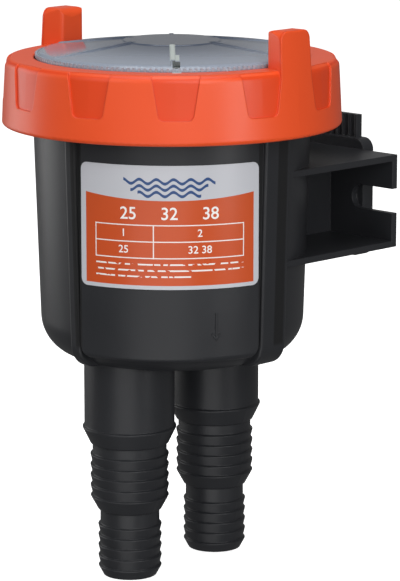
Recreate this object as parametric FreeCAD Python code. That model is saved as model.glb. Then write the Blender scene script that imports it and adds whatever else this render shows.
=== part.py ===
# Sea water strainer for a bulkhead: a moulded bowl with two stepped hose tails below it and a
# bracket behind it, a slotted basket inside, and a clear lid that a screwed collar holds down.
#
# Millimetres. +Z is up and +Y points into the bulkhead. The pieces are built about the bowl's
# axis, with z = 0 at the collar's lower edge, and are written with the origin at the centre of
# the pad's back face, which lies on the bulkhead.

import FreeCAD, Part
import math
import os
from FreeCAD import Vector

# ---------------------------------------------------------------- driving dimensions

# Bowl
BOWL_RADIUS = 58.5           # outside, level with the collar's lower edge
BOWL_DRAFT = 1.74            # degrees
BOWL_DEPTH = 98.4            # collar's lower edge to the bowl's underside
BOWL_WALL = 3.2
BOWL_FLOOR = 3.5
BOWL_CORNER = 17.0           # outside radius between wall and floor

# Neck, which carries the thread
NECK_BORE = 60.0             # radius
NECK_WALL = 5.0
NECK_HEIGHT = 21.3           # collar's lower edge to the rim
NECK_FLARE = 3.5             # height of the cone from the bowl to the neck
LEDGE_HEIGHT = 7.0           # the basket's rim hangs here
THREAD_PITCH = 6.0
THREAD_TURNS = 2.0
THREAD_HEIGHT = 2.2          # radial height of each ridge
THREAD_CREST = 1.3
THREAD_ROOT = 2.3
THREAD_START = 6.5           # height of the neck ridge's lower end
THREAD_SINK = 0.3            # how deep a ridge's root lies in its wall

# Lid seal, a round ring squeezed in the rim's rebate
SEAL_SECTION = 3.0
SEAL_SQUEEZE = 0.4

# Lid
LID_FLANGE = 3.5             # thickness
LID_SKIRT = 6.3              # length below the rim
LID_WALL = 2.8
LID_RADIUS = 57.4            # the drum that shows through the collar
LID_SHOULDER = 30.6          # height of the roof's outer edge
LID_SHOULDER_RADIUS = 55.4
LID_TOP = 35.0
LID_DISC_RADIUS = 20.4
LID_DISC_STEP = 0.4
LID_RIBS = 6
LID_RIB_WIDTH = 1.8
LID_RIB_HEIGHT = 0.7
LID_RIB_DEPTH = 2.5          # below the roof's inside face
LID_RIB_START = -44.0        # degrees, direction of the first rib

# Collar
COLLAR_WALL = 4.15           # at the lower edge, from the thread's root outwards
COLLAR_TOP = 3.5
COLLAR_DRAFT = 2.8           # degrees
COLLAR_SHOULDER = 3.2        # radius of the upper outer edge
COLLAR_EDGE = 1.5            # radius of the lower outer edge
COLLAR_SET = 1.8             # degrees past square, where the tightened collar stands
PAD_COUNT = 12
PAD_SINK = 0.8
PAD_WIDTH_TOP = 19.7
PAD_WIDTH_FOOT = 13.8
PAD_FOOT = 10.2              # height of the pad's lower edge
PAD_CORNER = 2.5
LUG_TOP = 44.1
LUG_INNER = 59.4             # from the axis to the inner face
LUG_WIDTH_INNER = 12.8       # across the inner face
LUG_WIDTH_FOOT = 18.6        # across the outer face, level with the collar's shoulder
LUG_WIDTH_TOP = 17.0
LUG_CORNER = 4.0
LUG_ROUND = 2.0              # radius of the inner upright edges
LUG_EDGE = 0.8               # radius of the outer upper edge
LUG_WALL = 3.2
LUG_CORE_WIDTH = 7.6

# Ribs and panel on the bowl
RIB_STAND = 1.4              # beyond the bowl
RIB_DEPTH = 97.6             # collar's lower edge to the ribs' lower ends
RIB_CORNER = 10.0
RIB_EDGE = 1.2               # radius of the ribs' long edges
FRONT_RIB_WIDTH = 5.8
FRONT_RIB_SHIFT = 0.6        # its middle, right of the bowl's axis
SIDE_RIB_WIDTH = 14.7
SIDE_RIB_SHIFT = 2.65        # their middle, behind the bowl's axis
PANEL_START = -84.8          # degrees
PANEL_END = -6.9
PANEL_FOOT = -91.5
PANEL_CORNER = 6.0
PANEL_EDGE = 2.5             # radius of the lower edge

# Bracket
STANDOFF = 87.0              # bowl axis to the bulkhead
WING_SPAN = 111.8
BRACKET_TOP = -16.5
BRACKET_HEIGHT = 40.1
SHELF_THICK = 2.7
PLATE_THICK = 3.0
WEB_SPACING = 40.0           # outside faces of the two webs
WEB_THICK = 3.0
SLOT_WIDTH = 10.6
SLOT_DEPTH = 23.3            # open end to closed end
MOUNT_PAD_WIDTH = 72.6
MOUNT_PAD_HEIGHT = 51.6
MOUNT_PAD_DEPTH = 6.5
MOUNT_PAD_CORNER = 5.0
MOUNT_PAD_DROP = 1.35        # pad's centre below the slots' centre line
TONGUE_WIDTH = 58.8
TONGUE_RISE = 9.8            # above the pad
TONGUE_THICK = 2.4
TONGUE_RIB = 1.2
TONGUE_RIB_PITCH = 3.6

# Hose tails: three hose sizes on each
TAIL_INSET = 32.9            # a tail's axis to the bowl's outside
INLET_RISE = 1.7             # the inlet's tail ends this much higher
HOSE_LARGE = 38.1
HOSE_MIDDLE = 31.75
HOSE_SMALL = 25.4
LAND_LENGTH = 28.5           # bowl's underside to the large hose's bead
BEAD_OVER = 0.85
LAND_OVER = 0.1
BARB_OVER = 0.9
BARB_UNDER = 0.1
BARB_ROUND = 0.3             # radius of a barb's crest
BARB_COUNT = 5
BARB_PITCH = 4.55
BARB_FACE = 0.5              # length of a barb's steep face
BEAD_CONE = 7.0
STEP_RUN = 1.8               # the middle run's last cone ends this far below the step
MIDDLE_LEAD = 4.5            # plain length before the first barb
SMALL_LEAD = 8.2
TAIL_CHAMFER = 1.2
TAIL_WALL = 2.9

# Riser, which lifts the inlet's water into the basket
RISER_TOP = -48.0
RISER_WALL = 2.4

# Basket
BASKET_GAP = 2.2             # between its wall and the bowl's
BASKET_WALL = 1.8
BASKET_RIM = 2.0             # thickness
BASKET_RIM_GAP = 0.4
BASKET_FOOT_GAP = 7.0        # between its underside and the bowl's floor
BASKET_CORNER = 4.0
BASKET_DRAFT = 1.5           # degrees
SLIT_COLUMNS = 40
SLIT_ROWS = 4
SLIT_WIDTH = 2.2
SLIT_BAND = 3.4              # height of the solid rings between rows
SLIT_TOP = 2.0               # below the ledge
FLOOR_SLIT_PITCH = 5.5
FLOOR_SLIT_EDGE = 6.0        # solid margin round the floor
HANDLE_WIDTH = 9.0
HANDLE_THICK = 2.4
HANDLE_TOP = 24.0

# Ring that seals the basket's floor on the riser
RING_RUN = 0.1               # clearance on the riser
RING_LIP = 1.2
RING_FLANGE = 1.5
RING_HEIGHT = 5.0

# Label
LABEL_START = -83.7          # degrees
LABEL_END = -7.5
LABEL_TOP = -9.5
LABEL_FOOT = -60.5
LABEL_THICK = 0.3
LABEL_CORNER = 3.0

# Clearances between pieces that move apart
LID_CLEAR = 0.4
OPENING_CLEAR = 0.6
THREAD_CLEAR = 0.35

# ---------------------------------------------------------------- places worked out from them

UP = Vector(0, 0, 1)
AXIS = Vector(0, 0, 0)
DEEP = 400.0                 # longer than any cut
OVER = 4.0                   # how far a cutter reaches past a face

rim_z = NECK_HEIGHT
flange_z = rim_z + LID_FLANGE
collar_z = flange_z + COLLAR_TOP
floor_z = -BOWL_DEPTH + BOWL_FLOOR
neck_radius = NECK_BORE + NECK_WALL
collar_bore = neck_radius + THREAD_HEIGHT + THREAD_CLEAR
bracket_foot = BRACKET_TOP - BRACKET_HEIGHT
slot_z = BRACKET_TOP - BRACKET_HEIGHT / 2
mount_z = slot_z - MOUNT_PAD_DROP
plate_back = STANDOFF - MOUNT_PAD_DEPTH
plate_front = plate_back - PLATE_THICK
inlet_y = BOWL_RADIUS - TAIL_INSET
outlet_y = -inlet_y
bore_large = HOSE_LARGE / 2 - TAIL_WALL
riser_radius = bore_large + RISER_WALL


def bowl_radius_at(z):
    """Outside radius of the drafted bowl at a height."""
    return BOWL_RADIUS + z * math.tan(math.radians(BOWL_DRAFT))


def collar_radius_at(z):
    """Outside radius of the drafted collar at a height."""
    return collar_bore + COLLAR_WALL - z * math.tan(math.radians(COLLAR_DRAFT))


# ---------------------------------------------------------------- shapes

def outline(points):
    """Closed face in the XZ plane through (x, z) or (x, z, corner radius) points."""
    corners = [Vector(p[0], 0, p[1]) for p in points]
    radii = [p[2] if len(p) > 2 else 0 for p in points]
    starts, ends, arcs = [], [], []
    for i, corner in enumerate(corners):
        back = (corners[i - 1] - corner).normalize()
        ahead = (corners[(i + 1) % len(corners)] - corner).normalize()
        half = back.getAngle(ahead) / 2
        reach = radii[i] / math.tan(half)
        middle = (back + ahead).normalize() if radii[i] else back
        near = radii[i] / math.sin(half) - radii[i]
        starts.append(corner + back * reach)
        ends.append(corner + ahead * reach)
        arcs.append(corner + middle * near)
    edges = []
    for i in range(len(corners)):
        if radii[i]:
            edges.append(Part.Arc(starts[i], arcs[i], ends[i]).toShape())
        following = starts[(i + 1) % len(corners)]
        if ends[i].distanceToPoint(following) > 1e-6:
            edges.append(Part.LineSegment(ends[i], following).toShape())
    return Part.Face(Part.Wire(edges))


def turned(points, x=0.0, y=0.0):
    """Solid of revolution of an outline about a vertical axis."""
    solid = outline(points).revolve(AXIS, UP, 360)
    return solid.translate(Vector(x, y, 0))


def slab(points, low_y, high_y):
    """Outline in XZ, extruded along Y from one plane to the other."""
    solid = outline(points).extrude(Vector(0, high_y - low_y, 0))
    return solid.translate(Vector(0, low_y, 0))


def block(low, high):
    """Box between two corners."""
    size = Vector(*high) - Vector(*low)
    return Part.makeBox(size.x, size.y, size.z, Vector(*low))


def spun(shape, degrees):
    """Copy of a shape, turned about the bowl's axis."""
    copy = shape.copy()
    copy.rotate(AXIS, UP, degrees)
    return copy


def side_prism(points, inner, outer):
    """Outline of (sideways, z) points, extruded outwards along +X between two distances."""
    solid = slab(points, -outer, -inner)
    solid.rotate(AXIS, UP, 90)
    return solid


def sector(inner, outer, low, high, start, end, corner, edge=0.0):
    """Part of a tube between two directions, its four corners rounded and its lower edge too."""
    ring = outline([(inner, low), (outer, low, edge), (outer, high), (inner, high)])
    shell = ring.revolve(AXIS, UP, end - start)
    shell.rotate(AXIS, UP, start)
    tools = []
    for direction, across in ((start, 1), (end, -1)):
        for z, along in ((low, 1), (high, -1)):
            square = side_prism([
                (-across * OVER, z - along * OVER),
                (across * corner, z - along * OVER),
                (across * corner, z + along * corner),
                (-across * OVER, z + along * corner),
            ], inner - OVER, outer + OVER)
            pin = Part.makeCylinder(corner, DEEP, Vector(0, across * corner, z + along * corner),
                                    Vector(1, 0, 0))
            tools.append(spun(square.cut(pin), direction))
    return shell.cut(tools)


def ridge(radius, stand, start_z):
    """Thread ridge on a wall of some radius; a negative stand points inwards."""
    inwards = math.copysign(1, -stand)
    root = radius + inwards * THREAD_SINK
    tip = radius + stand + inwards * THREAD_CLEAR
    helix = Part.makeHelix(THREAD_PITCH, THREAD_TURNS * THREAD_PITCH, radius)
    shape = outline([
        (root, -THREAD_ROOT / 2),
        (tip, -THREAD_CREST / 2),
        (tip, THREAD_CREST / 2),
        (root, THREAD_ROOT / 2),
    ])
    solid = Part.Wire(helix.Edges).makePipeShell([shape.OuterWire], True, True)
    return solid.translate(Vector(0, 0, start_z))


def one_solid(shape):
    """The single solid of a result, with split faces joined."""
    shape = shape.removeSplitter()
    return shape.Solids[0] if len(shape.Solids) == 1 else shape


# ---------------------------------------------------------------- housing

def bowl_body():
    """Bowl and neck, solid inside."""
    low_radius = bowl_radius_at(-BOWL_DEPTH)
    return turned([
        (0, -BOWL_DEPTH),
        (low_radius, -BOWL_DEPTH, BOWL_CORNER),
        (BOWL_RADIUS, 0),
        (neck_radius, NECK_FLARE),
        (neck_radius, rim_z),
        (0, rim_z),
    ])


def bowl_cavity():
    """Inside of the bowl, with the ledge for the basket and the rebate for the seal."""
    inner_foot = bowl_radius_at(floor_z) - BOWL_WALL
    inner_top = BOWL_RADIUS - BOWL_WALL
    rebate = NECK_BORE + SEAL_SECTION + LID_CLEAR / 2
    seat = rim_z - SEAL_SECTION + SEAL_SQUEEZE
    return turned([
        (0, floor_z),
        (inner_foot, floor_z, BOWL_CORNER - BOWL_WALL),
        (inner_top, 0),
        (inner_top, LEDGE_HEIGHT),
        (NECK_BORE, LEDGE_HEIGHT),
        (NECK_BORE, seat),
        (rebate, seat),
        (rebate, rim_z + OVER),
        (0, rim_z + OVER),
    ])


def rib(width, shift):
    """Rib on the +X side, down the bowl's wall and round its lower corner, with rounded edges."""
    out = BOWL_RADIUS + RIB_STAND
    low = bowl_radius_at(-RIB_DEPTH) + RIB_STAND
    solid = slab([
        (BOWL_RADIUS / 2, -RIB_DEPTH),
        (low, -RIB_DEPTH, RIB_CORNER),
        (out, 0),
        (BOWL_RADIUS / 2, 0),
    ], shift - width / 2, shift + width / 2)
    sides = [face for face in solid.Faces if abs(face.normalAt(0, 0).y) > 0.5]
    edges = [edge for face in sides for edge in face.Edges
             if edge.CenterOfMass.x > BOWL_RADIUS / 2 + RIB_EDGE and edge.CenterOfMass.z < -RIB_EDGE]
    return solid.makeFillet(RIB_EDGE, edges)


def bowl_ribs():
    """A narrow rib in front and a broad one on each side."""
    side = rib(SIDE_RIB_WIDTH, SIDE_RIB_SHIFT)
    front = spun(rib(FRONT_RIB_WIDTH, FRONT_RIB_SHIFT), -90)
    return [front, side, side.mirror(AXIS, Vector(1, 0, 0))]


def front_panel():
    """Upright field on the drafted bowl that carries the label."""
    return sector(BOWL_RADIUS / 2, BOWL_RADIUS, PANEL_FOOT, 0, PANEL_START, PANEL_END,
                  PANEL_CORNER, PANEL_EDGE)


def bracket():
    """Two shelves, two webs, the slotted plate, the pad and its ribbed tongue."""
    half = WING_SPAN / 2
    plate = block((-half, plate_front, bracket_foot), (half, plate_back, BRACKET_TOP))
    upper = block((-half, 0, BRACKET_TOP - SHELF_THICK), (half, plate_back, BRACKET_TOP))
    lower = block((-half, 0, bracket_foot), (half, plate_back, bracket_foot + SHELF_THICK))
    web_out = WEB_SPACING / 2
    webs = [block((s - WEB_THICK / 2, 0, bracket_foot), (s + WEB_THICK / 2, plate_back, BRACKET_TOP))
            for s in (WEB_THICK / 2 - web_out, web_out - WEB_THICK / 2)]
    solid = plate.fuse([upper, lower] + webs)
    slot_end = half - SLOT_DEPTH + SLOT_WIDTH / 2
    slot = block((slot_end, plate_front - OVER, slot_z - SLOT_WIDTH / 2),
                 (half + OVER, plate_back + OVER, slot_z + SLOT_WIDTH / 2))
    round_end = Part.makeCylinder(SLOT_WIDTH / 2, PLATE_THICK + 2 * OVER,
                                  Vector(slot_end, plate_front - OVER, slot_z), Vector(0, 1, 0))
    slot = slot.fuse(round_end)
    solid = solid.cut([slot, slot.mirror(AXIS, Vector(1, 0, 0))])
    core = block((WEB_THICK - web_out, 0, bracket_foot - OVER),
                 (web_out - WEB_THICK, plate_front, BRACKET_TOP - SHELF_THICK))
    return solid.cut(core).fuse(mount_pad())


def mount_pad():
    """Rounded pad that lies on the bulkhead, and the ribbed tongue above it."""
    half = MOUNT_PAD_WIDTH / 2
    low = mount_z - MOUNT_PAD_HEIGHT / 2
    high = mount_z + MOUNT_PAD_HEIGHT / 2
    corner = MOUNT_PAD_CORNER
    pad = slab([(-half, low, corner), (half, low, corner), (half, high, corner), (-half, high, corner)],
               plate_back, STANDOFF)
    side = TONGUE_WIDTH / 2
    tongue_front = STANDOFF - TONGUE_THICK
    tongue = block((-side, tongue_front, high - corner), (side, STANDOFF, high + TONGUE_RISE))
    count = int(TONGUE_WIDTH / TONGUE_RIB_PITCH) + 1
    step = (TONGUE_WIDTH - TONGUE_RIB) / (count - 1)
    ribs = [block((-side + i * step, tongue_front - TONGUE_RIB, high - corner),
                  (-side + i * step + TONGUE_RIB, tongue_front, high + TONGUE_RISE))
            for i in range(count)]
    return pad.fuse([tongue] + ribs)


def barbs(nominal, first_z):
    """Points of one run of barbs, from its first root down to its last."""
    root = nominal / 2 - BARB_UNDER
    peak = nominal / 2 + BARB_OVER
    points = []
    for k in range(BARB_COUNT):
        top = first_z - k * BARB_PITCH
        points.append((root, top))
        points.append((peak, top - BARB_FACE, BARB_ROUND))
    points.append((root, first_z - BARB_COUNT * BARB_PITCH))
    return points


def tail_heights(rise):
    """Heights of a tail's bead, middle barbs, step, small barbs and end."""
    bead = -BOWL_DEPTH - LAND_LENGTH + rise
    middle = bead - BEAD_CONE - MIDDLE_LEAD
    step = middle - BARB_COUNT * BARB_PITCH
    small = step - SMALL_LEAD
    end = small - BARB_COUNT * BARB_PITCH
    return bead, middle, step, small, end


def tail(y, rise):
    """Outside of one stepped hose tail, solid inside."""
    bead, middle, step, small, end = tail_heights(rise)
    land = HOSE_LARGE / 2 + LAND_OVER
    small_root = HOSE_SMALL / 2 - BARB_UNDER
    middle_root = HOSE_MIDDLE / 2 - BARB_UNDER
    return turned([
        (0, end),
        (small_root - TAIL_CHAMFER, end),
        *reversed(barbs(HOSE_SMALL, small)[:-1]),
        (small_root, step - STEP_RUN - BARB_FACE),
        (HOSE_SMALL / 2 + BARB_OVER, step - STEP_RUN),
        *reversed(barbs(HOSE_MIDDLE, middle)[:-1]),
        (middle_root, bead - BEAD_CONE - BARB_FACE),
        (HOSE_MIDDLE / 2 + BARB_OVER, bead - BEAD_CONE),
        (HOSE_LARGE / 2 + BEAD_OVER, bead - BARB_FACE, BARB_FACE / 2),
        (HOSE_LARGE / 2 + BEAD_OVER, bead),
        (land, bead + BARB_FACE),
        (land, floor_z),
        (0, floor_z),
    ], 0, y)


def tail_bore(y, rise):
    """Stepped water way of one tail, open at both ends."""
    bead, middle, step, small, end = tail_heights(rise)
    bore_middle = HOSE_MIDDLE / 2 - TAIL_WALL
    bore_small = HOSE_SMALL / 2 - TAIL_WALL
    return turned([
        (0, end - OVER),
        (bore_small, end - OVER),
        (bore_small, step + TAIL_WALL),
        (bore_middle, step + 2 * TAIL_WALL),
        (bore_middle, bead - TAIL_WALL),
        (bore_large, bead + TAIL_WALL),
        (bore_large, floor_z + OVER),
        (0, floor_z + OVER),
    ], 0, y)


def housing():
    """Bowl, neck, ribs, panel, bracket, riser and both tails: one moulding."""
    solid = bowl_body().fuse(bowl_ribs() + [front_panel(), bracket(), tail(outlet_y, 0),
                                            tail(inlet_y, INLET_RISE)])
    solid = solid.cut(bowl_cavity())
    solid = solid.fuse(ridge(neck_radius, THREAD_HEIGHT, THREAD_START))
    riser = Part.makeCylinder(riser_radius, RISER_TOP + BOWL_DEPTH, Vector(0, inlet_y, -BOWL_DEPTH))
    solid = solid.fuse(riser)
    way = Part.makeCylinder(bore_large, RISER_TOP + BOWL_DEPTH + OVER, Vector(0, inlet_y, -BOWL_DEPTH))
    solid = solid.cut([tail_bore(outlet_y, 0), tail_bore(inlet_y, INLET_RISE), way])
    return one_solid(solid)


# ---------------------------------------------------------------- lid and its seal

def lid():
    """Clear lid: flange, skirt, drum and a shallow ribbed roof."""
    skirt = NECK_BORE - LID_CLEAR
    drum_inner = LID_RADIUS - LID_WALL
    disc_edge = LID_DISC_RADIUS + LID_DISC_STEP
    roof_in = LID_SHOULDER_RADIUS - LID_WALL / 2
    body = turned([
        (0, LID_TOP - LID_WALL),
        (LID_DISC_RADIUS, LID_TOP - LID_WALL),
        (roof_in, LID_SHOULDER - LID_WALL),
        (drum_inner, flange_z - LID_WALL / 2),
        (skirt - LID_WALL, rim_z),
        (skirt - LID_WALL, rim_z - LID_SKIRT),
        (skirt, rim_z - LID_SKIRT),
        (skirt, rim_z),
        (neck_radius, rim_z),
        (neck_radius, flange_z),
        (LID_RADIUS, flange_z),
        (LID_RADIUS, LID_SHOULDER - LID_WALL / 2, LID_WALL / 2),
        (LID_SHOULDER_RADIUS, LID_SHOULDER, LID_WALL),
        (disc_edge, LID_TOP - LID_DISC_STEP),
        (LID_DISC_RADIUS, LID_TOP),
        (0, LID_TOP),
    ])
    rib = slab([
        (LID_DISC_RADIUS - LID_WALL, LID_TOP - LID_WALL - LID_RIB_DEPTH),
        (roof_in, LID_SHOULDER - LID_WALL - LID_RIB_DEPTH),
        (drum_inner + LID_WALL / 2, flange_z),
        (LID_SHOULDER_RADIUS, LID_SHOULDER + LID_RIB_HEIGHT / 2, LID_RIB_HEIGHT),
        (disc_edge, LID_TOP - LID_DISC_STEP + LID_RIB_HEIGHT),
        (LID_DISC_RADIUS - LID_WALL, LID_TOP),
    ], -LID_RIB_WIDTH / 2, LID_RIB_WIDTH / 2)
    ribs = [spun(rib, LID_RIB_START + i * 360 / LID_RIBS) for i in range(LID_RIBS)]
    return one_solid(body.fuse(ribs))


def lid_seal():
    """Round ring, squeezed flat between the rim's rebate and the lid."""
    centre = NECK_BORE + LID_CLEAR / 4 + SEAL_SECTION / 2
    tube = SEAL_SECTION / 2
    flat = tube - SEAL_SQUEEZE / 2
    middle_z = rim_z - flat
    ring = Part.makeTorus(centre, tube, Vector(0, 0, middle_z))
    band = block((-DEEP, -DEEP, middle_z - flat), (DEEP, DEEP, middle_z + flat))
    return one_solid(ring.common(band))


# ---------------------------------------------------------------- collar

def pad_tools():
    """Cutters for the shallow grip pads round the collar."""
    top = collar_z + OVER
    shield = side_prism([
        (-PAD_WIDTH_FOOT / 2, PAD_FOOT, PAD_CORNER),
        (PAD_WIDTH_FOOT / 2, PAD_FOOT, PAD_CORNER),
        (PAD_WIDTH_TOP / 2, collar_z),
        (PAD_WIDTH_TOP / 2, top),
        (-PAD_WIDTH_TOP / 2, top),
        (-PAD_WIDTH_TOP / 2, collar_z),
    ], collar_bore, collar_bore + COLLAR_WALL + OVER)
    core = turned([
        (0, 0),
        (collar_radius_at(0) - PAD_SINK, 0),
        (collar_radius_at(collar_z) - PAD_SINK, collar_z, COLLAR_SHOULDER),
        (0, collar_z),
    ])
    shield = shield.cut(core)
    step = 360 / PAD_COUNT
    return [spun(shield, (i + 0.5) * step) for i in range(PAD_COUNT)]


def lug():
    """One grip lug, narrower towards the axis, that rises flush from the collar's wall."""
    foot = collar_z - COLLAR_TOP / 2
    low = collar_z - 2 * COLLAR_SHOULDER
    outer = collar_radius_at(low)
    side = outline([
        (0, foot),
        (collar_bore, foot),
        (collar_bore, low),
        (outer, low),
        (collar_radius_at(LUG_TOP), LUG_TOP, LUG_EDGE),
        (LUG_INNER, LUG_TOP, LUG_CORNER),
        (LUG_INNER, foot + OVER),
        (0, foot + OVER),
    ])
    step = 360 / PAD_COUNT
    ring = spun(side.revolve(AXIS, UP, step), -step / 2)
    plan = slab([
        (LUG_INNER, -LUG_WIDTH_INNER / 2, LUG_ROUND),
        (outer, -LUG_WIDTH_FOOT / 2),
        (outer + OVER, -LUG_WIDTH_FOOT / 2),
        (outer + OVER, LUG_WIDTH_FOOT / 2),
        (outer, LUG_WIDTH_FOOT / 2),
        (LUG_INNER, LUG_WIDTH_INNER / 2, LUG_ROUND),
    ], low, LUG_TOP)
    plan.rotate(AXIS, Vector(1, 0, 0), 90)
    front = side_prism([
        (-LUG_WIDTH_FOOT / 2, low),
        (LUG_WIDTH_FOOT / 2, low),
        (LUG_WIDTH_TOP / 2, LUG_TOP, LUG_CORNER),
        (-LUG_WIDTH_TOP / 2, LUG_TOP, LUG_CORNER),
    ], 0, outer + OVER)
    return ring.common(plan).common(front)


def lug_core():
    """Hollow under one lug, open below."""
    inner = LUG_INNER + LUG_WALL
    half = LUG_CORE_WIDTH / 2
    return block((inner, -half, flange_z - OVER), (collar_bore, half, LUG_TOP - LUG_WALL))


def collar():
    """Screwed collar with grip pads and two lugs."""
    opening = LID_RADIUS + OPENING_CLEAR
    ring = turned([
        (collar_bore, 0),
        (collar_radius_at(0), 0, COLLAR_EDGE),
        (collar_radius_at(collar_z), collar_z, COLLAR_SHOULDER),
        (opening, collar_z, COLLAR_TOP / 5),
        (opening, flange_z),
        (collar_bore, flange_z),
    ])
    solid = ring.cut(pad_tools())
    solid = solid.fuse([lug(), spun(lug(), 180)])
    solid = solid.cut([lug_core(), spun(lug_core(), 180)])
    solid = solid.fuse(ridge(collar_bore, -THREAD_HEIGHT, THREAD_START - THREAD_PITCH / 2))
    return spun(one_solid(solid), COLLAR_SET)


# ---------------------------------------------------------------- basket and its ring

def basket_radius_at(z):
    """Outside radius of the basket's wall at a height."""
    top = BOWL_RADIUS - BOWL_WALL - BASKET_GAP
    return top - (LEDGE_HEIGHT - z) * math.tan(math.radians(BASKET_DRAFT))


def basket():
    """Slotted basket with a rim that hangs on the ledge and a moulded handle."""
    foot = floor_z + BASKET_FOOT_GAP
    rim = NECK_BORE - BASKET_RIM_GAP
    top = LEDGE_HEIGHT + BASKET_RIM
    low = basket_radius_at(foot)
    high = basket_radius_at(LEDGE_HEIGHT)
    shell = turned([
        (0, foot),
        (low, foot, BASKET_CORNER),
        (high, LEDGE_HEIGHT),
        (rim, LEDGE_HEIGHT),
        (rim, top),
        (high - BASKET_WALL, top),
        (low - BASKET_WALL, foot + BASKET_WALL, BASKET_CORNER - BASKET_WALL),
        (0, foot + BASKET_WALL),
    ])
    rows_top = LEDGE_HEIGHT - SLIT_TOP
    rows_foot = foot + BASKET_CORNER + BASKET_WALL
    pitch = (rows_top - rows_foot + SLIT_BAND) / SLIT_ROWS
    slits = []
    for row in range(SLIT_ROWS):
        low_z = rows_foot + row * pitch
        slit = block((low - BASKET_WALL - OVER, -SLIT_WIDTH / 2, low_z),
                     (high + OVER, SLIT_WIDTH / 2, low_z + pitch - SLIT_BAND))
        slits += [spun(slit, (i + 0.5) * 360 / SLIT_COLUMNS) for i in range(SLIT_COLUMNS)]
    field = low - FLOOR_SLIT_EDGE
    margin = inlet_y - riser_radius - RING_RUN - 2 * RING_LIP - FLOOR_SLIT_EDGE / 2
    y = margin - SLIT_WIDTH
    while y > -field:
        reach = math.sqrt(max(field ** 2 - y ** 2, 0))
        if reach > SLIT_WIDTH:
            slits.append(block((-reach, y, foot - OVER), (-SLIT_WIDTH, y + SLIT_WIDTH, foot + OVER)))
            slits.append(block((SLIT_WIDTH, y, foot - OVER), (reach, y + SLIT_WIDTH, foot + OVER)))
        y -= FLOOR_SLIT_PITCH
    hole = Part.makeCylinder(ring_seat(), 2 * OVER, Vector(0, inlet_y, foot - OVER))
    return one_solid(shell.cut(slits + [hole]).fuse(handle(high, top)))


def handle(radius, rim_top):
    """Arched strap across the basket's mouth."""
    out = radius - BASKET_WALL / 2
    low = rim_top - BASKET_RIM
    return slab([
        (-out, low),
        (-out + HANDLE_THICK, low),
        (-out + HANDLE_THICK * 2, rim_top, HANDLE_THICK),
        (-out / 2, HANDLE_TOP - HANDLE_THICK, out / 2),
        (out / 2, HANDLE_TOP - HANDLE_THICK, out / 2),
        (out - HANDLE_THICK * 2, rim_top, HANDLE_THICK),
        (out - HANDLE_THICK, low),
        (out, low),
        (out - HANDLE_THICK, rim_top + HANDLE_THICK, HANDLE_THICK),
        (out / 2, HANDLE_TOP, out / 2),
        (-out / 2, HANDLE_TOP, out / 2),
        (-out + HANDLE_THICK, rim_top + HANDLE_THICK, HANDLE_THICK),
    ], -HANDLE_WIDTH / 2, HANDLE_WIDTH / 2)


def ring_seat():
    """Radius of the basket floor's hole, where the ring's groove sits."""
    return riser_radius + RING_RUN + RING_LIP


def basket_ring():
    """Grommet in the basket's floor that slides on the riser."""
    foot = floor_z + BASKET_FOOT_GAP
    middle = foot + BASKET_WALL / 2
    bore = riser_radius + RING_RUN
    lip = ring_seat() + RING_LIP
    return one_solid(turned([
        (bore, middle - RING_HEIGHT / 2),
        (lip, middle - RING_HEIGHT / 2, RING_FLANGE / 2),
        (lip, foot),
        (ring_seat(), foot),
        (ring_seat(), foot + BASKET_WALL),
        (lip, foot + BASKET_WALL),
        (lip, middle + RING_HEIGHT / 2, RING_FLANGE / 2),
        (bore, middle + RING_HEIGHT / 2),
    ], 0, inlet_y))


# ---------------------------------------------------------------- label

def label():
    """Self-adhesive label on the panel."""
    return one_solid(sector(BOWL_RADIUS, BOWL_RADIUS + LABEL_THICK, LABEL_FOOT, LABEL_TOP,
                            LABEL_START, LABEL_END, LABEL_CORNER))


# ---------------------------------------------------------------- files

def write(name, shape):
    """Move a piece to the bulkhead frame and write it."""
    placed = shape.copy()
    placed.translate(Vector(0, -STANDOFF, -mount_z))
    placed.exportStep(f"parts/{name}.step")
    print(name, "solids", len(placed.Solids), "valid", placed.isValid(), "cm3", round(placed.Volume / 1000, 2))


os.makedirs("parts", exist_ok=True)
write("housing", housing())
write("collar", collar())
write("lid", lid())
write("lid_seal", lid_seal())
write("basket", basket())
write("basket_ring", basket_ring())
write("label", label())
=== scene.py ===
# %% [markdown]
# # Dressing a sea water strainer
# The strainer's solids are already made at their real size: a black moulded bowl with two stepped
# hose tails and a bracket, an orange screwed collar, a smoky clear lid and a white basket inside.
# This notebook gives them their finishes and adds what is too fine for the solids: the lid's fine
# teeth, the moulded flow arrow and the label's figures. Lights, floor and camera come at the end.

# %% Load the solids
import math

import bmesh
import bpy
import numpy as np
from mathutils import Matrix, Vector


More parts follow.
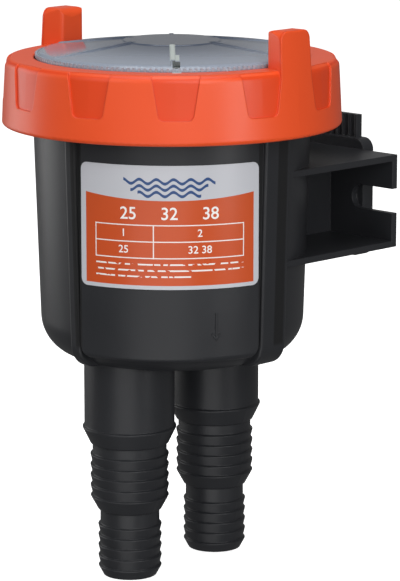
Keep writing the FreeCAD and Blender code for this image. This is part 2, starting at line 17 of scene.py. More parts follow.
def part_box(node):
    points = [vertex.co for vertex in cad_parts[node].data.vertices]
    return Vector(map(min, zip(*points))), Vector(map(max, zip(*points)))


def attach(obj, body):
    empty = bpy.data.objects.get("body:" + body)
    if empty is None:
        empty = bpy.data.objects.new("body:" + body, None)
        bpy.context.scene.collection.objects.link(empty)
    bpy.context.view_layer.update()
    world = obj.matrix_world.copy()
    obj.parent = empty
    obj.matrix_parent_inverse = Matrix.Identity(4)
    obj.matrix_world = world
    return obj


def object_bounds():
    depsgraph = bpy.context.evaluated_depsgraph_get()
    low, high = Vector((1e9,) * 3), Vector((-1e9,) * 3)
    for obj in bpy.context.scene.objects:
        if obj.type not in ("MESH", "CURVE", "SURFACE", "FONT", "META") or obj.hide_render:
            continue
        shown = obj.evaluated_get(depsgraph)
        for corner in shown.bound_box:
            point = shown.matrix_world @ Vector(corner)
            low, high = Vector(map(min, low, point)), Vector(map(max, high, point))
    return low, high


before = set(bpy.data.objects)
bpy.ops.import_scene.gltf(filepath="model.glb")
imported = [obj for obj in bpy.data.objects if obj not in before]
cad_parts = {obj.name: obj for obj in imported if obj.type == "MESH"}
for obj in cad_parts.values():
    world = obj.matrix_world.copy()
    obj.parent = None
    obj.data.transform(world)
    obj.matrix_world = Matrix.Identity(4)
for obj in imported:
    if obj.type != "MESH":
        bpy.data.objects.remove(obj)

cad_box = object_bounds()
MM = 0.001
SOFT = 0.06 * MM                 # softness of every printed edge

# %% [markdown]
# ## Where things are
# Every place is read from the solids, so the finishes follow them. The lid is round, so the middle
# of its box is the bowl's axis. Heights are counted from the collar's lower edge. Typing the sizes
# in again would be quicker, but they would then go wrong as soon as a solid changes.

# %% Measure the solids
lid_low, lid_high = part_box("lid")
collar_low, collar_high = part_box("collar")
label_low, label_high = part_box("label")
axis_x = (lid_low.x + lid_high.x) / 2
axis_y = (lid_low.y + lid_high.y) / 2
edge_z = collar_low.z


def measured(node):
    """x, y and height of a node's vertices, from the bowl's axis and the collar's lower edge."""
    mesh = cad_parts[node].data
    flat = np.empty(len(mesh.vertices) * 3)
    mesh.vertices.foreach_get("co", flat)
    places = flat.reshape(-1, 3)
    return places[:, 0] - axis_x, places[:, 1] - axis_y, places[:, 2] - edge_z


def polar(node):
    """Radius, direction and height of a node's vertices about the bowl's axis."""
    x, y, height = measured(node)
    return np.hypot(x, y), np.degrees(np.arctan2(y, x)), height


film_radius, label_turn, _ = polar("label")
panel_radius = film_radius.min()         # the film's back lies on the panel
label_radius = film_radius.max()
label_mid = math.radians((label_turn.min() + label_turn.max()) / 2)
label_half = math.radians((label_turn.max() - label_turn.min()) / 2) * label_radius
label_mid_z = (label_low.z + label_high.z) / 2
label_tall = (label_high.z - label_low.z) / 2
print(f"label {label_half * 2 / MM:.1f} x {label_tall * 2 / MM:.1f} mm")

# %% [markdown]
# ## Writing materials as sums
# A shader is a small program. Wiring its nodes one by one hides what it works out, so one class
# wraps a socket and lets plain Python signs add the maths nodes. Any other node comes from one
# method, `add`, which sets the node's options first and then its sockets. A material is given to
# its pieces by `on`, which also prints how many nodes it took.

# %% Sums on sockets
class Sum:
    """A number in a shader: signs between two of them add a maths node."""

    def __init__(self, paint, socket):
        self.paint = paint
        self.socket = socket

    def _math(self, operation, *others):
        node = self.paint.add("ShaderNodeMath", {"operation": operation},
                              dict(enumerate((self, *others))))
        return Sum(self.paint, node.outputs[0])

    def __add__(self, other):
        return self._math("ADD", other)

    def __sub__(self, other):
        return self._math("SUBTRACT", other)

    def __rsub__(self, other):
        return (self * -1)._math("ADD", other)

    def __mul__(self, other):
        return self._math("MULTIPLY", other)

    def __truediv__(self, other):
        return self._math("DIVIDE", other)

    __radd__ = __add__
    __rmul__ = __mul__

    def root(self):
        return self._math("SQRT")

    def size(self):
        return self._math("ABSOLUTE")

    def wave(self):
        return self._math("SINE")

    def turn_from(self, x):
        return self._math("ARCTAN2", x)

    def most(self, other):
        return self._math("MAXIMUM", other)

    def rise(self, start, end):
        """0 below start, 1 above end, and a soft step between them."""
        node = self.paint.add("ShaderNodeMapRange", {"interpolation_type": "SMOOTHSTEP"},
                              {"Value": self, "From Min": start, "From Max": end})
        return Sum(self.paint, node.outputs[0])

    def within(self, half, soft):
        """1 where the size of the number is under half, with a soft edge."""
        return 1 - self.size().rise(half - soft, half + soft)


class Paint:
    """One material, with its shader node and a way to add others."""

    def __init__(self, name, **finish):
        self.material = bpy.data.materials.new(name)
        self.material.use_nodes = True
        self.nodes = self.material.node_tree.nodes
        self.links = self.material.node_tree.links
        self.shader = self.nodes["Principled BSDF"]
        for socket, value in finish.items():
            self.feed(self.shader, socket.replace("_", " "), value)

    def feed(self, node, socket, value):
        """Set a socket from a sum, another socket or a plain value."""
        if isinstance(value, Sum):
            self.links.new(value.socket, node.inputs[socket])
        elif isinstance(value, bpy.types.NodeSocket):
            self.links.new(value, node.inputs[socket])
        else:
            node.inputs[socket].default_value = value

    def add(self, kind, options, sockets):
        """New node, with its options set before its sockets."""
        node = self.nodes.new(kind)
        for option, value in options.items():
            setattr(node, option, value)
        for socket, value in sockets.items():
            self.feed(node, socket, value)
        return node

    def place(self):
        """x and y from the bowl's axis, and height over the collar's lower edge, in metres."""
        where = self.add("ShaderNodeTexCoord", {}, {}).outputs["Object"]
        split = self.add("ShaderNodeSeparateXYZ", {}, {"Vector": where})
        x, y, z = (Sum(self, split.outputs[axis]) for axis in "XYZ")
        return x - axis_x, y - axis_y, z - edge_z

    def noise(self, per_metre, detail=2.0):
        """Cloudy value between 0 and 1 over the piece's own space."""
        where = self.add("ShaderNodeTexCoord", {}, {}).outputs["Object"]
        node = self.add("ShaderNodeTexNoise", {},
                        {"Vector": where, "Scale": per_metre, "Detail": detail})
        return Sum(self, node.outputs[0])

    def mix(self, amount, first, second):
        """Colour between two colours."""
        node = self.add("ShaderNodeMix", {"data_type": "RGBA"}, {0: amount, 6: first, 7: second})
        return node.outputs[2]

    def relief(self, height, depth, edge_radius=0.0):
        """Bump from a height, on edges softened as a mould's are."""
        sockets = {"Height": height, "Distance": depth, "Strength": 1.0}
        if edge_radius:
            rounded = self.add("ShaderNodeBevel", {"samples": 6}, {"Radius": edge_radius})
            sockets["Normal"] = rounded.outputs[0]
        self.feed(self.shader, "Normal", self.add("ShaderNodeBump", {}, sockets).outputs[0])

    def on(self, *objects):
        """Give the material to objects, in place of any other."""
        for thing in objects:
            thing.data.materials.clear()
            thing.data.materials.append(self.material)
        print(f"{self.material.name}: {len(self.nodes)} nodes, on {len(objects)} of the pieces")


def colour(red, green, blue):
    """Screen colour, 0 to 255, as the linear colour that a shader takes."""
    levels = [value / 255 for value in (red, green, blue)]
    return (*[v / 12.92 if v <= 0.04045 else ((v + 0.055) / 1.055) ** 2.4 for v in levels], 1.0)


# %% [markdown]
# ## Black housing
# The bowl, tails and bracket are one moulding in glass-filled nylon. Such a surface is never flat
# black: it is a dark grey with a faint spark-eroded grain and slightly uneven gloss. Two noises do
# it, a coarse one for the gloss and a fine one for the grain. The shader also rounds the sharp
# edges a little, as the mould does, which is cheaper than bevelling every edge of the solid.
#
# The channels beside the ribs are deep and narrow, so little light gets out of them. More light
# rays would show that, but slowly. Instead, each channel is a band between two lengths across the
# rib, drawn darker and duller.

# %% Housing finish
FRONT_CHANNEL = (1.2 * MM, 6.2 * MM)     # from the bowl's axis, left of the panel
PANEL_CHANNEL = (-7.2 * MM, -4.7 * MM)   # right of the panel
BACK_CHANNEL = (2.6 * MM, 8.2 * MM)      # along the right rib
CHANNEL_SOFT = 0.5 * MM
CHANNEL_FOOT = -88 * MM
CHANNEL_SIDE = 48 * MM                   # the bowl's wall is further out than this
CHANNEL_DARK = 0.85
CLOUDS = 35.0                            # noise scales are per metre
FINE_GRAIN = 2600.0
GRAIN_DEPTH = 0.03 * MM
MOULD_EDGE = 0.5 * MM                    # radius that the mould leaves on edges


def band(across, lengths):
    """1 between two lengths."""
    return (across - sum(lengths) / 2).within((lengths[1] - lengths[0]) / 2, CHANNEL_SOFT)


def housing_finish():
    """Dark grey with uneven gloss, a fine grain and darker channels."""
    paint = Paint("housing_plastic", IOR=1.47, Specular_IOR_Level=0.42)
    cloud = paint.noise(CLOUDS)
    grain = paint.noise(FINE_GRAIN, 1.0)
    x, y, z = paint.place()
    tall = z.rise(CHANNEL_FOOT - MM, CHANNEL_FOOT + MM)
    front = tall * (y * -1).rise(CHANNEL_SIDE, CHANNEL_SIDE + MM)
    right = tall * x.rise(CHANNEL_SIDE, CHANNEL_SIDE + MM)
    dark = band(x, FRONT_CHANNEL) * front
    dark = dark.most(band(y, PANEL_CHANNEL).most(band(y, BACK_CHANNEL)) * right)
    body = paint.mix(cloud, colour(35, 36, 39), colour(43, 44, 47))
    body = paint.mix(dark * CHANNEL_DARK, body, colour(7, 7, 8))
    paint.feed(paint.shader, "Base Color", body)
    paint.feed(paint.shader, "Roughness", 0.33 + cloud * 0.1 + dark * 0.3)
    paint.relief(grain, GRAIN_DEPTH, MOULD_EDGE)
    return paint


housing_paint = housing_finish()
housing_paint.on(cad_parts["housing"])

# %% [markdown]
# ## Orange collar
# The collar is a glossy-satin orange. Its grip pads are sunk less than a millimetre, and they are
# painted a slightly deeper orange than the rest: painted shade, which stands for the darker
# reflections that the sunk pads show. A second material could be set on the pads' faces, but they
# would have to be picked out of thousands. So the depth of a point below the collar's cone tells
# the pads from the rest, and the cone's own size is measured on the solid. A short white tick on
# the top face shows the lid's rib where to stand.

# %% Collar finish
TICK_TURN = math.radians(-42.6)
TICK_RADIUS = 59.3 * MM
TICK_LONG = 2.4 * MM
TICK_WIDE = 3.7 * MM
TICK_FOOT = 26 * MM              # only the top face takes the print
LUGS_AWAY = 60                   # degrees round the two sides that have no lug
CONE_FOOT = (1.2 * MM, 3 * MM)   # heights between which the cone's lower radius is read
CONE_LEVEL = 2 * MM              # and the height that it is taken to be at
CONE_TOP = 20 * MM
PAD_FLOOR = (0.35 * MM, 0.6 * MM)        # a pad's depth starts between these
PAD_LIMIT = (1.2 * MM, 1.5 * MM)         # and deeper places are something else
PAD_FOOT = 8 * MM


def turned(x, y, turn):
    """Lengths sideways from, and along, a direction from the bowl's axis."""
    return y * math.cos(turn) - x * math.sin(turn), x * math.cos(turn) + y * math.sin(turn)


def collar_cone():
    """Outside radius at the collar's lower edge, and how much it shrinks for each metre up."""
    radius, turn, height = polar("collar")
    aside = np.abs(np.abs(turn) - 90) < LUGS_AWAY
    low = aside & (height > CONE_FOOT[0]) & (height < CONE_FOOT[1])
    high = aside & (height > CONE_TOP)
    low_radius = radius[low].max()
    high_radius = radius[high].max()
    slope = (low_radius - high_radius) / (height[high][radius[high].argmax()] - CONE_LEVEL)
    return low_radius + slope * CONE_LEVEL, slope


def collar_finish():
    """Orange with painted shade on the sunk pads and a white tick."""
    paint = Paint("collar_plastic", IOR=1.48)
    foot_radius, slope = collar_cone()
    print(f"collar cone {foot_radius / MM:.2f} mm, slope {slope:.4f}")
    x, y, z = paint.place()
    radius = (x * x + y * y).root()
    depth = foot_radius - z * slope - radius
    pad = depth.rise(*PAD_FLOOR) * (1 - depth.rise(*PAD_LIMIT))
    pad = pad * z.rise(PAD_FOOT, PAD_FOOT + MM)
    cloud = paint.noise(28.0)
    body = paint.mix(cloud, colour(231, 78, 30), colour(235, 84, 36))
    # painted shade: the sunk pads take a deeper orange for the darker reflections they show
    pad_shaded = paint.mix(pad, body, colour(222, 66, 16))
    side, ahead = turned(x, y, TICK_TURN)
    tick = side.within(TICK_WIDE / 2, SOFT) * (ahead - TICK_RADIUS).within(TICK_LONG / 2, SOFT)
    tick = tick * z.rise(TICK_FOOT, TICK_FOOT + MM)
    paint.feed(paint.shader, "Base Color", paint.mix(tick, pad_shaded, colour(238, 236, 232)))
    paint.feed(paint.shader, "Roughness", 0.34 + cloud * 0.08)
    paint.relief(paint.noise(2200.0, 1.0), 0.02 * MM, 0.6 * MM)
    return paint


collar_paint = collar_finish()
collar_paint.on(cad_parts["collar"])

# %% [markdown]
# ## Smoky lid
# The lid is a tinted clear moulding. Light passes through it, but the tint and the ribs below keep
# the basket from showing clearly. Transmission gives that look, with a little roughness so that
# the inside is soft. The roof's colour is painted paler towards its edge, a painted reflection of
# the studio that the roof shows there. One rib, the one that faces the collar's tick, carries a
# white mark: a bar down the rib and a short foot beside it, with a dark patch beyond. They are flat
# and have straight sides, so two lengths in the shader draw them more simply than a mesh would.

# %% Lid finish
MARK_TURN = math.radians(-44.0)          # direction of the rib
MARK_BAR = (-1.15 * MM, 1.15 * MM, 18.5 * MM, 46.5 * MM)     # sideways, then outwards
MARK_FOOT = (-0.3 * MM, 2.7 * MM, 36.5 * MM, 46.5 * MM)
MARK_WINDOW = (-0.2 * MM, 2.9 * MM, 48.5 * MM, 56.8 * MM)
PALE_START = 16.0 * MM
PALE_END = 56.0 * MM


def lid_finish():
    """Tinted clear moulding with a painted reflection towards its edge, and the white mark on one
    rib.
    """
    paint = Paint("lid_clear", IOR=1.49, Transmission_Weight=0.45)
    x, y, _ = paint.place()
    side, ahead = turned(x, y, MARK_TURN)

    def patch(low, high, near, far):
        across = (side - (low + high) / 2).within((high - low) / 2, SOFT)
        return across * (ahead - (near + far) / 2).within((far - near) / 2, SOFT)

    # painted reflection: the roof's colour grows paler towards its edge
    pale = (x * x + y * y).root().rise(PALE_START, PALE_END)
    tint_and_reflection = paint.mix(pale, colour(96, 106, 125), colour(184, 194, 210))
    tint_and_reflection = paint.mix(patch(*MARK_WINDOW), tint_and_reflection, colour(62, 72, 72))
    mark = patch(*MARK_BAR).most(patch(*MARK_FOOT))
    paint.feed(paint.shader, "Base Color", paint.mix(mark, tint_and_reflection, colour(235, 245, 240)))
    paint.feed(paint.shader, "Roughness", 0.13 + paint.noise(60.0) * 0.05)
    paint.relief(paint.noise(120.0, 1.0), 0.02 * MM, 0.4 * MM)
    return paint


lid_paint = lid_finish()
lid_paint.on(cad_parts["lid"])

# %% [markdown]
# ## Basket and rubber rings
# The basket is natural white polypropylene. Such a plastic lets a little light in, so it gets some
# subsurface scattering, where a plain white would look like chalk. The rings are plain black
# rubber, which is rough and needs no more than that.

# %% Inner finishes
basket_paint = Paint("basket_plastic", Base_Color=colour(222, 222, 216), IOR=1.49,
                     Subsurface_Weight=0.2, Subsurface_Scale=0.002)
basket_paint.feed(basket_paint.shader, "Roughness", 0.4 + basket_paint.noise(50.0) * 0.1)
basket_paint.relief(basket_paint.noise(1500.0, 1.0), 0.02 * MM, 0.3 * MM)
basket_paint.on(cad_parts["basket"])

rubber_paint = Paint("seal_rubber", Base_Color=colour(24, 24, 25))
rubber_paint.feed(rubber_paint.shader, "Roughness", 0.6 + rubber_paint.noise(90.0) * 0.15)
rubber_paint.on(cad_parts["lid_seal"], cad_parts["basket_ring"])

# %% [markdown]
# ## Label
# The label is a glossy printed film: a silver border and heading, and an orange field whose top
# edge sags in the middle. Its print is worked out from two lengths, along the label and up it, so
# that it lies on the curved film with no image. The heading holds plain water waves, and the field
# holds a small table of hose bores.

# %% Label finish
FIELD_SIDE = 2.6 * MM            # silver border beside the field
FIELD_FOOT = 1.6 * MM
FIELD_TOP = 11.7 * MM            # heading's height at the sides
FIELD_SAG = 2.7 * MM             # and how much further it comes down in the middle
TABLE_LEFT = -31.6 * MM
TABLE_RIGHT = 31.6 * MM
TABLE_TOP = 1.0 * MM
TABLE_FOOT = -12.6 * MM
TABLE_SPLIT = -6.5 * MM          # where the upright rule stands
RULE = 0.22 * MM                 # half the width of a printed rule
SMALL_DROP = 2.6 * MM            # first line of small print, below the table
SMALL_STEP = 2.5 * MM
SMALL_RULE = 0.32 * MM
SMALL_SHARES = (1.0, 1.0, 0.64)  # how far each line of small print runs
WAVE_HIGH = 0.9 * MM
WAVE_LONG = 7.0 * MM
WAVE_Z = 19.0 * MM
WAVE_STEP = 2.6 * MM
WAVE_HALF = 19.0 * MM            # half the length of the top wave
WAVE_SHORTER = 3 * MM            # each wave below it
WAVE_RULE = 0.62 * MM


def print_places(paint):
    """Length along the label from its middle, and height over its middle."""
    x, y, z = paint.place()
    side, ahead = turned(x, y, label_mid)
    return side.turn_from(ahead) * label_radius, z - (label_mid_z - edge_z)


def rule_marks(along, up):
    """White rules: the table's frame, its two dividers and three lines of small print."""
    wide = (TABLE_RIGHT - TABLE_LEFT) / 2
    tall = (TABLE_TOP - TABLE_FOOT) / 2
    mid_x = (TABLE_RIGHT + TABLE_LEFT) / 2
    mid_z = (TABLE_TOP + TABLE_FOOT) / 2
    inside = (along - mid_x).within(wide + RULE, SOFT) * (up - mid_z).within(tall + RULE, SOFT)
    frame_x = ((along - mid_x).size() - wide).within(RULE, SOFT)
    frame_z = ((up - mid_z).size() - tall).within(RULE, SOFT)
    cross_x = (along - TABLE_SPLIT).within(RULE, SOFT)
    cross_z = (up - mid_z).within(RULE, SOFT)
    marks = inside * frame_x.most(frame_z).most(cross_x).most(cross_z)
    words = along.paint.noise(520.0, 0.0).rise(0.38, 0.42)
    for line, share in enumerate(SMALL_SHARES):
        z = TABLE_FOOT - SMALL_DROP - SMALL_STEP * line
        reach = wide * share
        dash = (along - (reach - wide)).within(reach, SOFT) * (up - z).within(SMALL_RULE, SOFT)
        marks = marks.most(dash * words)
    return marks


def label_finish():
    """Silver and orange print with waves, a table and small print."""
    paint = Paint("label_print", IOR=1.5)
    along, up = print_places(paint)
    share = along / label_half
    top = label_tall - FIELD_TOP - FIELD_SAG + share * share * FIELD_SAG
    field = along.within(label_half - FIELD_SIDE, SOFT) * (top - up).rise(-SOFT, SOFT)
    field = field * (up + label_tall - FIELD_FOOT).rise(-SOFT, SOFT)
    waves = None
    for row in range(3):
        crest = (along * (2 * math.pi / WAVE_LONG)).wave() * WAVE_HIGH
        line = (up - (WAVE_Z - row * WAVE_STEP) - crest).within(WAVE_RULE, SOFT)
        line = line * along.within(WAVE_HALF - row * WAVE_SHORTER, SOFT)
        waves = line if waves is None else waves.most(line)
    silver = paint.mix(waves, colour(196, 198, 204), colour(38, 74, 128))
    field_colour = paint.mix(paint.noise(20.0), colour(196, 76, 30), colour(203, 84, 38))
    ink = paint.mix(rule_marks(along, up), field_colour, colour(240, 236, 232))
    paint.feed(paint.shader, "Base Color", paint.mix(field, silver, ink))
    paint.feed(paint.shader, "Roughness", 0.26 + paint.noise(40.0) * 0.05)
    return paint


label_paint = label_finish()
label_paint.on(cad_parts["label"])

# %% [markdown]
# ## Bending flat work round the bowl
# Figures and signs are easiest to make flat. A helper then bends them round the bowl's axis: the
# sideways length becomes an angle, and the depth is added to the radius. The vertices themselves
# are moved, so the object stays at the origin like every solid.

# %% Bend a flat mesh round the bowl
TYPE_SIZE = 1.38                 # size of the type for each unit of a figure's height
TYPE_BOLD = 0.012                # how much fatter, as a share of the height


def put(name, data):
    """New object in the scene, at the origin and unturned."""
    thing = bpy.data.objects.new(name, data)
    bpy.context.scene.collection.objects.link(thing)
    return thing


def bend(mesh, direction, radius, height):
    """Bend a mesh drawn in XY, with its relief along Z, round the bowl."""
    for vertex in mesh.vertices:
        side, up, out = vertex.co
        angle = direction + side / radius
        vertex.co = (axis_x + (radius + out) * math.cos(angle),
                     axis_y + (radius + out) * math.sin(angle), height + up)
    mesh.update()


def figure(name, text, height, direction, radius, z, depth):
    """Figures of a height and depth, centred at a place on the bowl."""
    curve = bpy.data.curves.new(name, "FONT")
    curve.body = text
    curve.size = height * TYPE_SIZE
    curve.align_x = "CENTER"
    curve.align_y = "CENTER"
    curve.extrude = depth / 2
    curve.offset = TYPE_BOLD * height
    drawn = put(name, curve)
    bpy.context.view_layer.update()
    depsgraph = bpy.context.evaluated_depsgraph_get()
    mesh = bpy.data.meshes.new_from_object(drawn.evaluated_get(depsgraph))
    bpy.data.objects.remove(drawn)
    bend(mesh, direction, radius + depth / 2, z)
    return put(name, mesh)


# %% [markdown]
# ## Figures on the label
# The table's figures are the three hose bores in millimetres. Real figures would be print, but a
# shader can't draw type without an image, so they are a film of white a few hundredths thick.

# %% Print the hose bores
ink_paint = Paint("label_ink", Base_Color=colour(244, 241, 238), IOR=1.5, Roughness=0.3)
HOSE_BORES = ("25", "32", "38")
CELLS = (("1", "2"), ("25", "32 38"))
FILM = 0.03 * MM
BORE_HIGH = 5.2 * MM
BORE_STEP = 17.0 * MM
BORE_UP = 5.6 * MM               # above the label's middle
CELL_HIGH = 3.2 * MM


def print_figures():
    """Large figures above the table, and the same figures small inside it."""
    pieces = []

    def printed(name, text, height, side, up):
        turn = label_mid + side / label_radius
        pieces.append(figure(name, text, height, turn, label_radius, label_mid_z + up, FILM))

    for column, text in enumerate(HOSE_BORES):
        printed(f"label_bore_{text}", text, BORE_HIGH, (column - 1) * BORE_STEP, BORE_UP)
    sides = ((TABLE_LEFT + TABLE_SPLIT) / 2, (TABLE_RIGHT + TABLE_SPLIT) / 2)
    rows = (TABLE_TOP * 0.75 + TABLE_FOOT * 0.25, TABLE_TOP * 0.25 + TABLE_FOOT * 0.75)
    for row, texts in enumerate(CELLS):
        for column, text in enumerate(texts):
            printed(f"label_cell_{row}_{column}", text, CELL_HIGH, sides[column], rows[row])
    ink_paint.on(*pieces)
    for piece in pieces:
        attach(piece, "housing")
    print(f"{len(pieces)} figures on the label")


print_figures()

# %% [markdown]
# ## Flow arrow
# A small arrow stands on the panel, above the tail that the water leaves by. It is moulded with the
# housing, and a reader could carve it out with a Boolean. An outline is less work: it is drawn
# flat, given its depth, and bent round the panel.

# %% Mould the arrow
ARROW_LONG = 11.0 * MM
ARROW_HEAD = 2.0 * MM
ARROW_LINE = 0.75 * MM
ARROW_STAND = 0.35 * MM
ARROW_SIDE = -26.2 * MM          # nearly over the outlet tail
ARROW_DROP = 76.4 * MM


def closed_mesh(name, work):
    """Mesh from a finished bmesh, with its faces pointing outwards."""
    bmesh.ops.recalc_face_normals(work, faces=work.faces)
    mesh = bpy.data.meshes.new(name)
    work.to_mesh(mesh)
    work.free()
    return mesh


def moulded(mesh):
    """Piece of the housing's own plastic."""
    piece = put(mesh.name, mesh)
    housing_paint.on(piece)
    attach(piece, "housing")
    print(f"{mesh.name}: {len(mesh.polygons)} faces")


def flow_arrow():
    """Down arrow over the outlet: a stem and two barbs."""
    half = ARROW_LINE / 2
    tip = -ARROW_LONG / 2
    right = [(half, ARROW_LONG / 2), (half, tip + half * 3),
             (ARROW_HEAD - half, tip + ARROW_HEAD + half * 2), (ARROW_HEAD, tip + ARROW_HEAD),
             (0, tip - half)]
    outline = [(-x, y) for x, y in reversed(right[:-1])] + right
    work = bmesh.new()
    lower = [work.verts.new((x, y, -ARROW_STAND)) for x, y in outline]
    upper = [work.verts.new((x, y, ARROW_STAND)) for x, y in outline]
    work.faces.new(upper)
    work.faces.new(list(reversed(lower)))
    for i in range(len(outline)):
        after = (i + 1) % len(outline)
        work.faces.new((lower[i], lower[after], upper[after], upper[i]))
    mesh = closed_mesh("flow_arrow", work)
    bend(mesh, math.asin(ARROW_SIDE / panel_radius), panel_radius, edge_z - ARROW_DROP)
    moulded(mesh)


flow_arrow()

# %% [markdown]
# ## Raised strips on the right rib
# The broad rib beside the label has a raised face in front and a narrow raised edge behind, with
# the channel between them. A bump in the shader would look right only from in front, because the
# strips also step the outline. So each strip is one section carried down the rib's outer line,
# which is read from the housing's solid. The strips then follow the draft and turn in at the foot.

# %% Raise the strips
RIB_MIDDLE = 2.65 * MM           # across, from the bowl's axis
STRIPS = {"rib_face": (-4.9 * MM, 2.5 * MM, 0.7 * MM), "rib_edge": (8.5 * MM, 9.9 * MM, 0.45 * MM)}
STRIP_TOP = -1.0 * MM
STRIP_FOOT = -90.0 * MM
STRIP_STEP = 2.0 * MM
STRIP_SLOPE = 0.8                # run of its sloped sides for each unit that it stands out
RIB_REACH = 7 * MM               # the rib's face is measured this far to each side
RIB_OUT = 40 * MM                # and nothing nearer the axis is the rib


def rib_line():
    """Heights, from the lowest, and how far out the right rib's face is at each."""
    out, across, height = measured("housing")
    face = (np.abs(across - RIB_MIDDLE) < RIB_REACH) & (out > RIB_OUT) & (height < 0)
    order = np.argsort(height[face])
    return height[face][order], out[face][order]


def rib_strip(name, low, high, stand):
    """One strip: a section with sloped sides, carried down the rib."""
    heights, outs = rib_line()
    slope = stand * STRIP_SLOPE
    section = [(low, -stand), (low, 0), (low + slope, stand),
               (high - slope, stand), (high, 0), (high, -stand)]
    steps = int((STRIP_TOP - STRIP_FOOT) / STRIP_STEP)
    work = bmesh.new()
    rings = []
    for step in range(steps + 1):
        z = STRIP_TOP + (STRIP_FOOT - STRIP_TOP) * step / steps
        out = float(np.interp(z, heights, outs))
        rings.append([work.verts.new((axis_x + out + rise, axis_y + across, edge_z + z))
                      for across, rise in section])
    for upper, lower in zip(rings, rings[1:]):
        for i in range(len(section)):
            after = (i + 1) % len(section)
            work.faces.new((upper[i], upper[after], lower[after], lower[i]))
    work.faces.new(rings[0])
    work.faces.new(list(reversed(rings[-1])))
    moulded(closed_mesh(name, work))


for strip_name, (low, high, stand) in STRIPS.items():
    rib_strip(strip_name, low, high, stand)

# %% [markdown]
# ## Fine teeth round the lid's edge
# A ring of fine upright teeth runs round the lid's wall, just under the roof. They are all alike,
# so Geometry Nodes make them: a circle gives the places, one small block stands at each, and named
# inputs hold the sizes. A loop in Python could place them too, but the tree's sizes can be changed
# by hand and seen at once. The blocks are then made real and the result becomes a plain mesh. The
# wall's radius is read from the lid's solid.

# %% A small helper for geometry trees
def geometry_tree(name, sizes):
    """New geometry tree with named number inputs, and a function that adds its nodes."""
    tree = bpy.data.node_groups.new(name, "GeometryNodeTree")
    for label, kind in sizes.items():
        tree.interface.new_socket(label, in_out="INPUT", socket_type=kind)
    tree.interface.new_socket("Geometry", in_out="OUTPUT", socket_type="NodeSocketGeometry")

    def add(kind, options, sockets):
        node = tree.nodes.new(kind)
        for option, value in options.items():
            setattr(node, option, value)
        for socket, value in sockets.items():
            if isinstance(value, bpy.types.NodeSocket):
                tree.links.new(value, node.inputs[socket])
            else:
                node.inputs[socket].default_value = value
        return node

    return tree, add, tree.nodes.new("NodeGroupInput").outputs


def grown(name, tree, values):
    """Run a tree with its values, and keep the result as a plain mesh."""
    host = put(name, bpy.data.meshes.new(name))
    modifier = host.modifiers.new("grow", "NODES")
    modifier.node_group = tree
    for item in tree.interface.items_tree:
        if item.in_out == "INPUT":
            modifier[item.identifier] = values[item.name]
    bpy.context.view_layer.update()
    depsgraph = bpy.context.evaluated_depsgraph_get()
    mesh = bpy.data.meshes.new_from_object(host.evaluated_get(depsgraph))
    host.modifiers.clear()
    host.data = mesh
    return host


# %% Grow the teeth
TOOTH_COUNT = 156
TOOTH_WIDE = 1.0 * MM
TOOTH_DEEP = 1.5 * MM            # along the radius
TOOTH_HIGH = 1.5 * MM
TOOTH_STAND = 0.08 * MM          # beyond the wall
ROOF_EDGE = 30.6 * MM            # height of the roof's edge
TOOTH_DROP = 0.85 * MM           # the teeth end this much below it
WALL_BAND = 3 * MM               # the wall's radius is measured down to this much below it


def tooth_ring(paint):
    """Tree that sets blocks on a circle, each pointing outwards."""
    tree, add, given = geometry_tree("tooth_ring", {
        "Count": "NodeSocketInt", "Radius": "NodeSocketFloat", "Width": "NodeSocketFloat",
        "Length": "NodeSocketFloat", "Height": "NodeSocketFloat"})
    circle = add("GeometryNodeMeshCircle", {},
                 {"Vertices": given["Count"], "Radius": given["Radius"]})
    size = add("ShaderNodeCombineXYZ", {},
               {0: given["Length"], 1: given["Width"], 2: given["Height"]})
    tooth = add("GeometryNodeMeshCube", {}, {"Size": size.outputs[0]})
    place = add("GeometryNodeInputPosition", {}, {})
    outwards = add("FunctionNodeAlignRotationToVector", {"axis": "X", "pivot_axis": "Z"},
                   {"Vector": place.outputs[0]})
    stood = add("GeometryNodeInstanceOnPoints", {}, {
        "Points": circle.outputs["Mesh"], "Instance": tooth.outputs["Mesh"],
        "Rotation": outwards.outputs[0]})
    real = add("GeometryNodeRealizeInstances", {}, {"Geometry": stood.outputs[0]})
    done = add("GeometryNodeSetMaterial", {},
               {"Geometry": real.outputs[0], "Material": paint.material})
    out = tree.nodes.new("NodeGroupOutput")
    tree.links.new(done.outputs[0], out.inputs[0])
    return tree


def lid_teeth():
    """Ring of fine teeth on the lid's wall."""
    radius, _, height = polar("lid")
    wall = radius[height > ROOF_EDGE - WALL_BAND].max()
    paint = Paint("lid_teeth", Base_Color=colour(158, 167, 178), IOR=1.4, Roughness=0.45)
    teeth = grown("lid_teeth", tooth_ring(paint), {
        "Count": TOOTH_COUNT, "Radius": wall + TOOTH_STAND - TOOTH_DEEP / 2, "Width": TOOTH_WIDE,
        "Length": TOOTH_DEEP, "Height": TOOTH_HIGH})
    up = edge_z + ROOF_EDGE - TOOTH_DROP - TOOTH_HIGH / 2
    teeth.data.transform(Matrix.Translation((axis_x, axis_y, up)))
    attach(teeth, "lid")
    print(f"{len(teeth.data.polygons)} faces in the teeth, on a wall of {wall / MM:.2f} mm radius")


lid_teeth()

# %% [markdown]
# ## Studio
# A plain white floor lies under the part. It glows, so that it stays white, but it neither lights
# the part nor is mirrored in it, which would pale the black moulding's edges. The room is dim, and
# soft square lights stand in front, behind, at both sides and above, so that the moulding shows
# its form by their highlights. A picture of a room could light it too, but its details would show
# in the gloss. One more light, from below, stands for what a table would throw back, so the floor
# casts no shadow.

# %% Floor and lights
VIEW_TURN = 44.9935              # degrees, from straight in front towards the right wing
FLOOR_SIZE = 14.0
FLOOR_GAP = 0.5 * MM             # below the tails' ends
FLOOR_GLOW = 0.95
ROOM_GLOW = 0.15
LIT_MIDDLE = Vector((0.0, axis_y, edge_z - 70 * MM))


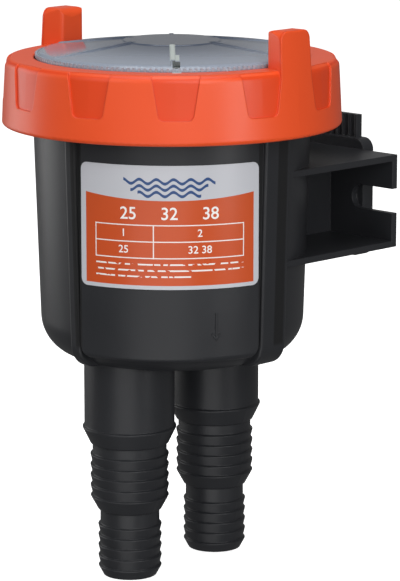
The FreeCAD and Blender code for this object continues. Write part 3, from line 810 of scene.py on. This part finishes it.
def studio_floor():
    """White floor that shows, but neither lights the part nor is mirrored in it."""
    bpy.ops.mesh.primitive_plane_add(size=1.0, location=(0, 0, 0))
    floor = bpy.context.object
    floor.name = "studio_floor"
    place = Matrix.Translation((0, axis_y, cad_box[0][2] - FLOOR_GAP))
    floor.data.transform(place @ Matrix.Scale(FLOOR_SIZE, 4))
    floor.visible_glossy = False
    floor.visible_diffuse = False
    floor.visible_shadow = False
    paint = Paint("floor_pale", Base_Color=(0.9, 0.9, 0.9, 1.0), Roughness=0.8,
                  Emission_Color=(1.0, 1.0, 1.0, 1.0), Emission_Strength=FLOOR_GLOW)
    paint.on(floor)


def soft_light(name, turn, lift, distance, size, watts):
    """Square light that looks at the part. Its turn, in degrees, is counted from the camera's."""
    data = bpy.data.lights.new(name, "AREA")
    data.size = size
    data.energy = watts
    lamp = put(name, data)
    angle = math.radians(VIEW_TURN - 90 + turn)
    rise = math.radians(lift)
    level = math.cos(rise)
    out = Vector((math.cos(angle) * level, math.sin(angle) * level, math.sin(rise)))
    lamp.location = LIT_MIDDLE + out * distance
    lamp.rotation_euler = out.to_track_quat("Z", "Y").to_euler()
    print(f"{name} light: {watts} W from {distance} m")


def dim_room():
    """Even white glow from all round."""
    world = bpy.data.worlds.new("studio")
    bpy.context.scene.world = world
    world.use_nodes = True
    glow = world.node_tree.nodes["Background"].inputs
    glow["Color"].default_value = (1.0, 1.0, 1.0, 1.0)
    glow["Strength"].default_value = ROOM_GLOW


studio_floor()
soft_light("front_left", -45, 28, 1.3, 0.8, 3.0)
soft_light("bounce", -10, -26, 1.2, 1.1, 4.3)
soft_light("front_right", 16, 26, 1.2, 0.7, 5.6)
soft_light("far_left", -118, 8, 1.1, 0.7, 3.5)
soft_light("far_right", 45, 6, 1.2, 0.3, 2.8)
soft_light("top", -10, 82, 1.1, 0.9, 7.0)
soft_light("back", 180, 24, 1.4, 0.8, 0.35)
dim_room()
bpy.context.scene.view_settings.view_transform = "Standard"

# %% [markdown]
# ## Camera
# A long lens, a little above the collar, looks at the corner between the label side and the right
# wing. Its place is worked out from a distance and two angles about a point near the bowl's axis,
# which is easier to adjust than three coordinates and a rotation.

# %% Camera
VIEW_DISTANCE = 1.26723
VIEW_DOWN = 11.3698              # degrees
AIM_RIGHT = 11.808 * MM
AIM_DROP = 72.5075 * MM
LENS = 184.0                     # in millimetres, as the sensor's height is
SENSOR_HIGH = 36.0
FAR_END = 50.0


def studio_camera():
    """Camera that looks down at the part along the view."""
    data = bpy.data.cameras.new("studio_camera")
    camera = put("studio_camera", data)
    turn = Matrix.Rotation(math.radians(VIEW_TURN), 3, "Z")
    look = turn @ Matrix.Rotation(math.radians(90 - VIEW_DOWN), 3, "X")
    aim = Vector((axis_x, axis_y, edge_z - AIM_DROP)) + turn @ Vector((AIM_RIGHT, 0, 0))
    camera.location = aim + look @ Vector((0, 0, VIEW_DISTANCE))
    camera.rotation_euler = look.to_euler()
    data.sensor_fit = "VERTICAL"
    data.sensor_height = SENSOR_HIGH
    data.lens = LENS
    data.clip_end = FAR_END
    bpy.context.scene.camera = camera
    print(f"camera at {camera.location.length:.2f} m from the origin, {LENS:.0f} mm lens")


studio_camera()
